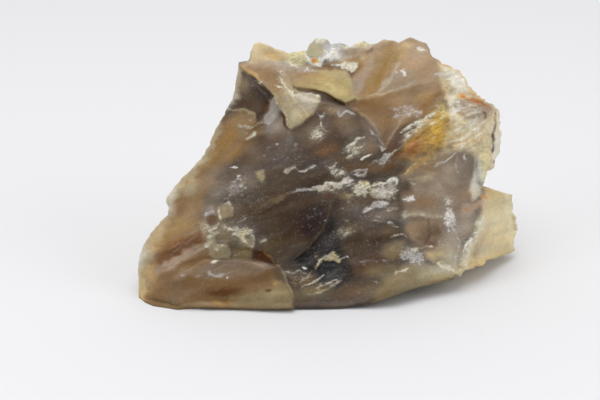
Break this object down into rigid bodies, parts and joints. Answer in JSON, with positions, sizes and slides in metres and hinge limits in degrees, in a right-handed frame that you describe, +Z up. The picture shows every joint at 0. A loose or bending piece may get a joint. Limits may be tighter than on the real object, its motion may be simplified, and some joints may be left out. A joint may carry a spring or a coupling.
{
  "type": "rough limnosilicite",
  "caption": "Rough broken piece of cloudy brown and cream chalcedony, with shell-like scars, thin flaked ledges, a chalky rind and a flat underside to rest on.",
  "frame": {"origin": "middle of the stone's length and depth, on the plane of its flat underside", "axes": "+X along the stone's length, to the right when it is seen from its best side; -Y towards that viewer; +Z up"},
  "size_m": [0.0776, 0.0405, 0.0443],
  "materials": {
    "stone": "waxy to dull broken surface, cloudy and see-through at thin edges"
  },
  "bodies": {
    "root": {"stone": "stone"}
  },
  "joints": []
}
